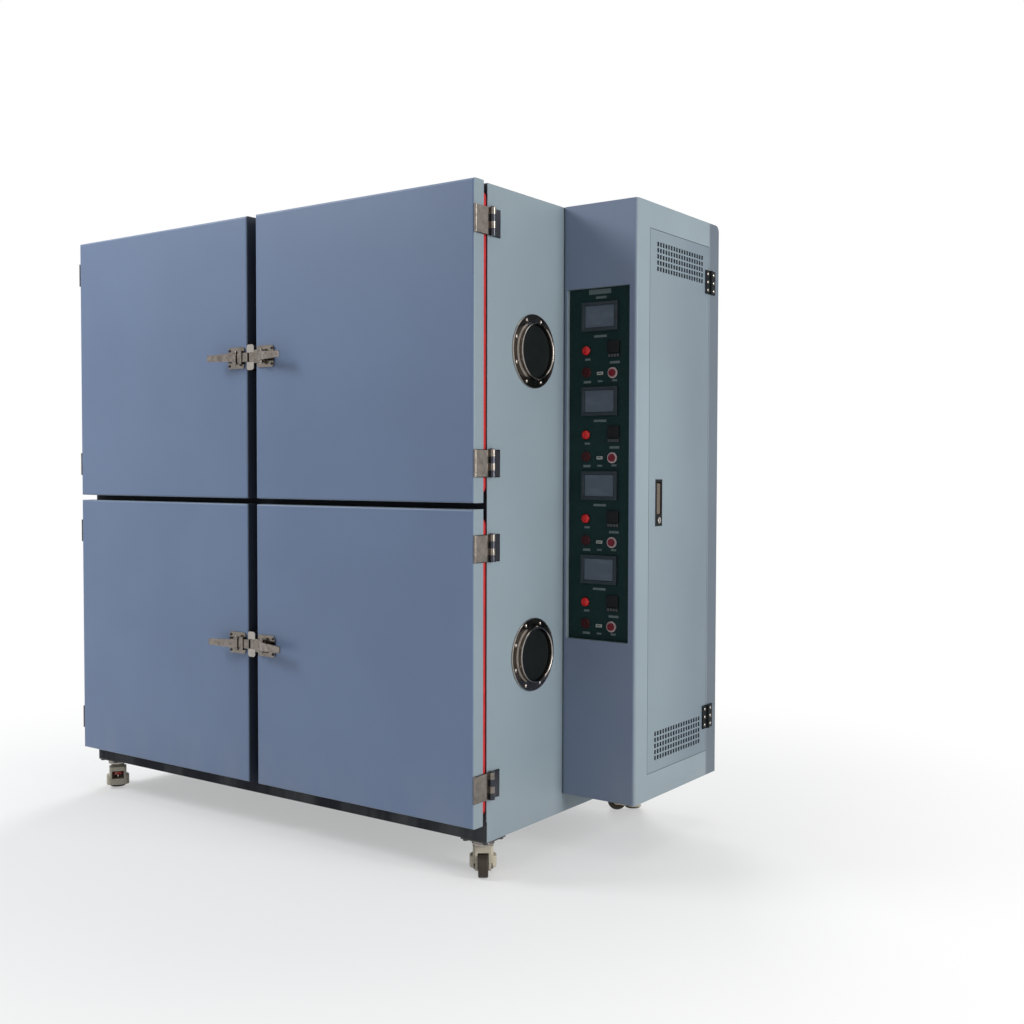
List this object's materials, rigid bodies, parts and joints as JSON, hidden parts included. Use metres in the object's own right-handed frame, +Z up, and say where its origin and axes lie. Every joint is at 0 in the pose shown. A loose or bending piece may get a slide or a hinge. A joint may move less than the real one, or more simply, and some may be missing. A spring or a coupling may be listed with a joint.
{
  "type": "drying oven",
  "caption": "Floor-standing drying oven: insulated doors with lever latches, side ports, a control cabinet with a recessed panel and a service door, on levelling castors.",
  "frame": {"origin": "on the floor, under the middle of the whole oven's outer box", "axes": "+X to the right along the doors, towards the control cabinet; +Y from the doors to the back; +Z up"},
  "size_m": [1.9892, 1.024, 1.904],
  "materials": {
    "black_plastic": "matt black",
    "blue_paint": "satin slate blue enamel",
    "bronze_plating": "bronze-coloured plating",
    "castor_nylon": "dark nylon",
    "castor_paint": "cream paint",
    "chrome_plating": "chrome plating",
    "component_plastic": "moulded electrical housings",
    "dark_paint": "dark satin paint",
    "fan_steel": "plain steel",
    "fitting_plastic": "dark plastic",
    "mineral_wool": "matt mineral wool",
    "motor_paint": "black motor paint",
    "panel_green": "dark green satin paint",
    "red_button": "red glossy cap",
    "red_lens": "red translucent lens",
    "red_silicone": "matt red silicone",
    "screen_plastic": "dark glossy display",
    "stainless": "brushed stainless sheet"
  },
  "bodies": {
    "body": {"base_frame": "blue_paint", "left_side_panel": "blue_paint", "right_side_panel": "blue_paint", "top_panel": "blue_paint", "back_panels": "blue_paint", "front_fascia": "dark_paint", "chamber_liners": "stainless", "shelves": "stainless", "air_baffles": "stainless", "heating_elements": "stainless", "fan_motors": "motor_paint", "insulation": "mineral_wool", "door_gaskets": "red_silicone", "body_hinge_leaves": "chrome_plating", "latch_keepers": "chrome_plating", "port_collars": "chrome_plating", "control_cabinet_shell": "blue_paint", "control_panel": "panel_green", "touch_screens": "screen_plastic", "indicator_lamps": "red_lens", "panel_fittings": "fitting_plastic", "electrical_parts": "component_plastic", "service_hinge_frame_leaves": "black_plastic"},
    "lower_left_door": {"lower_left_door_shell": "blue_paint", "lower_left_door_inner_panel": "stainless", "lower_left_door_fittings": "chrome_plating"},
    "lower_left_latch_lever": {"lower_left_latch_lever": "chrome_plating"},
    "lower_left_fan_impeller": {"lower_left_fan_impeller": "fan_steel"},
    "lower_right_door": {"lower_right_door_shell": "blue_paint", "lower_right_door_inner_panel": "stainless", "lower_right_door_fittings": "chrome_plating"},
    "lower_right_latch_lever": {"lower_right_latch_lever": "chrome_plating"},
    "lower_right_fan_impeller": {"lower_right_fan_impeller": "fan_steel"},
    "upper_left_door": {"upper_left_door_shell": "blue_paint", "upper_left_door_inner_panel": "stainless", "upper_left_door_fittings": "chrome_plating"},
    "upper_left_latch_lever": {"upper_left_latch_lever": "chrome_plating"},
    "upper_left_fan_impeller": {"upper_left_fan_impeller": "fan_steel"},
    "upper_right_door": {"upper_right_door_shell": "blue_paint", "upper_right_door_inner_panel": "stainless", "upper_right_door_fittings": "chrome_plating"},
    "upper_right_latch_lever": {"upper_right_latch_lever": "chrome_plating"},
    "upper_right_fan_impeller": {"upper_right_fan_impeller": "fan_steel"},
    "service_door": {"service_door_panel": "blue_paint", "service_door_fittings": "black_plastic"},
    "service_lock_lever": {"service_lock_lever": "bronze_plating"},
    "front_left_castor": {"front_left_castor_body": "castor_paint"},
    "front_left_wheel": {"front_left_castor_wheel": "castor_nylon"},
    "front_right_castor": {"front_right_castor_body": "castor_paint"},
    "front_right_wheel": {"front_right_castor_wheel": "castor_nylon"},
    "rear_left_castor": {"rear_left_castor_body": "castor_paint"},
    "rear_left_wheel": {"rear_left_castor_wheel": "castor_nylon"},
    "rear_right_castor": {"rear_right_castor_body": "castor_paint"},
    "rear_right_wheel": {"rear_right_castor_wheel": "castor_nylon"},
    "push_button_1": {"push_button_1": "red_button"},
    "push_button_2": {"push_button_2": "red_button"},
    "push_button_3": {"push_button_3": "red_button"},
    "push_button_4": {"push_button_4": "red_button"},
    "lower_port_plug": {"lower_port_plug": "black_plastic"},
    "upper_port_plug": {"upper_port_plug": "black_plastic"}
  },
  "joints": [
    {"name": "lower_left_door_hinge", "type": "hinge", "parent": "body", "child": "lower_left_door", "pos_m": [-0.98565, -0.3975, 0.58725], "axis": [0, 0, -1], "range_deg": [0, 170]},
    {"name": "lower_left_latch_pivot", "type": "hinge", "parent": "lower_left_door", "child": "lower_left_latch_lever", "pos_m": [-0.17685, -0.487, 0.58725], "axis": [0, 0, 1], "range_deg": [0, 50]},
    {"name": "lower_left_fan_shaft", "type": "hinge", "parent": "body", "child": "lower_left_fan_impeller", "pos_m": [-0.5581, 0.395, 0.58725], "axis": [0, 1, 0], "continuous": true},
    {"name": "lower_right_door_hinge", "type": "hinge", "parent": "body", "child": "lower_right_door", "pos_m": [0.74395, -0.3975, 0.58725], "axis": [0, 0, 1], "range_deg": [0, 170]},
    {"name": "lower_right_latch_pivot", "type": "hinge", "parent": "lower_right_door", "child": "lower_right_latch_lever", "pos_m": [-0.06485, -0.487, 0.58725], "axis": [0, 0, -1], "range_deg": [0, 50]},
    {"name": "lower_right_fan_shaft", "type": "hinge", "parent": "body", "child": "lower_right_fan_impeller", "pos_m": [0.3164, 0.395, 0.58725], "axis": [0, 1, 0], "continuous": true},
    {"name": "upper_left_door_hinge", "type": "hinge", "parent": "body", "child": "upper_left_door", "pos_m": [-0.98565, -0.3975, 1.47075], "axis": [0, 0, -1], "range_deg": [0, 170]},
    {"name": "upper_left_latch_pivot", "type": "hinge", "parent": "upper_left_door", "child": "upper_left_latch_lever", "pos_m": [-0.17685, -0.487, 1.47075], "axis": [0, 0, 1], "range_deg": [0, 50]},
    {"name": "upper_left_fan_shaft", "type": "hinge", "parent": "body", "child": "upper_left_fan_impeller", "pos_m": [-0.5581, 0.395, 1.47075], "axis": [0, 1, 0], "continuous": true},
    {"name": "upper_right_door_hinge", "type": "hinge", "parent": "body", "child": "upper_right_door", "pos_m": [0.74395, -0.3975, 1.47075], "axis": [0, 0, 1], "range_deg": [0, 170]},
    {"name": "upper_right_latch_pivot", "type": "hinge", "parent": "upper_right_door", "child": "upper_right_latch_lever", "pos_m": [-0.06485, -0.487, 1.47075], "axis": [0, 0, -1], "range_deg": [0, 50]},
    {"name": "upper_right_fan_shaft", "type": "hinge", "parent": "body", "child": "upper_right_fan_impeller", "pos_m": [0.3164, 0.395, 1.47075], "axis": [0, 1, 0], "continuous": true},
    {"name": "service_door_hinge", "type": "hinge", "parent": "body", "child": "service_door", "pos_m": [0.98965, 0.425, 1.03175], "axis": [0, 0, 1], "range_deg": [0, 120]},
    {"name": "service_lock_lever_pivot", "type": "hinge", "parent": "service_door", "child": "service_lock_lever", "pos_m": [0.98035, 0.1, 1.08675], "axis": [0, -1, 0], "range_deg": [0, 35]},
    {"name": "front_left_castor_swivel", "type": "hinge", "parent": "body", "child": "front_left_castor", "pos_m": [-0.93135, -0.364, 0.104], "axis": [0, 0, 1], "continuous": true},
    {"name": "front_left_wheel_axle", "type": "hinge", "parent": "front_left_castor", "child": "front_left_wheel", "pos_m": [-0.9601, -0.34234, 0.0315], "axis": [-0.6018, -0.7986, 0], "continuous": true},
    {"name": "front_right_castor_swivel", "type": "hinge", "parent": "body", "child": "front_right_castor", "pos_m": [0.68965, -0.364, 0.104], "axis": [0, 0, 1], "continuous": true},
    {"name": "front_right_wheel_axle", "type": "hinge", "parent": "front_right_castor", "child": "front_right_wheel", "pos_m": [0.71132, -0.39275, 0.0315], "axis": [0.7986, 0.6018, 0], "continuous": true},
    {"name": "rear_left_castor_swivel", "type": "hinge", "parent": "body", "child": "rear_left_castor", "pos_m": [-0.93135, 0.442, 0.104], "axis": [0, 0, 1], "continuous": true},
    {"name": "rear_left_wheel_axle", "type": "hinge", "parent": "rear_left_castor", "child": "rear_left_wheel", "pos_m": [-0.91904, 0.40817, 0.0315], "axis": [0.9397, 0.342, 0], "continuous": true},
    {"name": "rear_right_castor_swivel", "type": "hinge", "parent": "body", "child": "rear_right_castor", "pos_m": [0.68965, 0.442, 0.104], "axis": [0, 0, 1], "continuous": true},
    {"name": "rear_right_wheel_axle", "type": "hinge", "parent": "rear_right_castor", "child": "rear_right_wheel", "pos_m": [0.66016, 0.42135, 0.0315], "axis": [0.5736, -0.8192, 0], "continuous": true},
    {"name": "push_button_1_travel", "type": "slide", "parent": "body", "child": "push_button_1", "axis": [0, 1, 0], "range_m": [0, 0.004], "stiffness_N_per_m": 300},
    {"name": "push_button_2_travel", "type": "slide", "parent": "body", "child": "push_button_2", "axis": [0, 1, 0], "range_m": [0, 0.004], "stiffness_N_per_m": 300},
    {"name": "push_button_3_travel", "type": "slide", "parent": "body", "child": "push_button_3", "axis": [0, 1, 0], "range_m": [0, 0.004], "stiffness_N_per_m": 300},
    {"name": "push_button_4_travel", "type": "slide", "parent": "body", "child": "push_button_4", "axis": [0, 1, 0], "range_m": [0, 0.004], "stiffness_N_per_m": 300},
    {"name": "lower_port_plug_pull", "type": "slide", "parent": "body", "child": "lower_port_plug", "axis": [1, 0, 0], "range_m": [0, 0.1]},
    {"name": "upper_port_plug_pull", "type": "slide", "parent": "body", "child": "upper_port_plug", "axis": [1, 0, 0], "range_m": [0, 0.1]}
  ]
}
